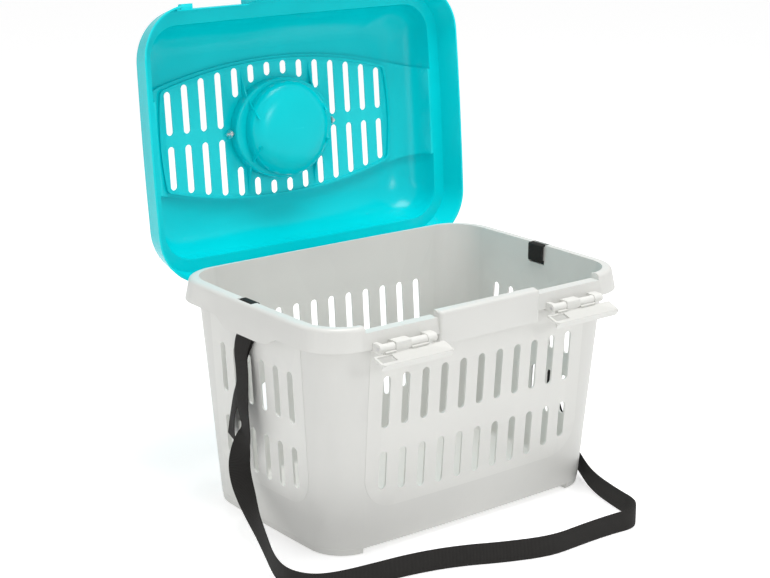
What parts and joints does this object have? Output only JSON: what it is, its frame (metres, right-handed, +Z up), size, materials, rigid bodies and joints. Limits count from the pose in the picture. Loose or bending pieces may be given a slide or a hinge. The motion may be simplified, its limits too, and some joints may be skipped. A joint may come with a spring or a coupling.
{
  "type": "pet carrier",
  "caption": "Top-opening plastic pet carrier: slotted tub, hinged turquoise lid with recessed folding handle, snap latches, shoulder strap.",
  "frame": {"origin": "centre of the tub's base, on the surface that it stands on", "axes": "+X to the right along the long sides, -Y towards the front latches, +Y towards the lid hinge, +Z up"},
  "size_m": [0.4971, 0.5229, 0.5743],
  "materials": {
    "tub_plastic": "warm light grey, half gloss, fine grain",
    "lid_plastic": "turquoise, half gloss, fine grain",
    "handle_plastic": "turquoise, half gloss",
    "latch_plastic": "light grey, half gloss",
    "rod_steel": "drawn steel rod",
    "pin_steel": "drawn steel",
    "strap_webbing": "black woven webbing with fine cross ribs",
    "slider_plastic": "black, satin"
  },
  "bodies": {
    "tub": {"tub": "tub_plastic", "front_rod_left": "rod_steel", "front_rod_right": "rod_steel", "rear_rod_left": "rod_steel", "rear_rod_right": "rod_steel", "strap_free_run": "strap_webbing", "strap_left_loop": "strap_webbing", "strap_right_loop": "strap_webbing", "strap_left_tail": "strap_webbing", "strap_right_tail": "strap_webbing", "strap_left_slider": "slider_plastic", "strap_right_slider": "slider_plastic"},
    "lid": {"lid": "lid_plastic", "rear_latch_left": "latch_plastic", "rear_latch_right": "latch_plastic", "handle_pin_left": "pin_steel", "handle_pin_right": "pin_steel", "handle_clip_left": "pin_steel", "handle_clip_right": "pin_steel"},
    "top_handle": {"top_handle": "handle_plastic"},
    "front_latch_left": {"front_latch_left": "latch_plastic"},
    "front_latch_right": {"front_latch_right": "latch_plastic"}
  },
  "joints": [
    {"name": "lid_hinge", "type": "hinge", "parent": "tub", "child": "lid", "pos_m": [0, 0.163, 0.247], "axis": [-1, 0, 0], "range_deg": [-95, 0]},
    {"name": "top_handle_hinge", "type": "hinge", "parent": "lid", "child": "top_handle", "pos_m": [0, 0.24427, 0.4015], "axis": [1, 0, 0], "range_deg": [0, 90]},
    {"name": "front_latch_left_hinge", "type": "hinge", "parent": "tub", "child": "front_latch_left", "pos_m": [-0.122, -0.163, 0.247], "axis": [-1, 0, 0], "range_deg": [-45, 133]},
    {"name": "front_latch_right_hinge", "type": "hinge", "parent": "tub", "child": "front_latch_right", "pos_m": [0.122, -0.163, 0.247], "axis": [-1, 0, 0], "range_deg": [-45, 133]}
  ]
}
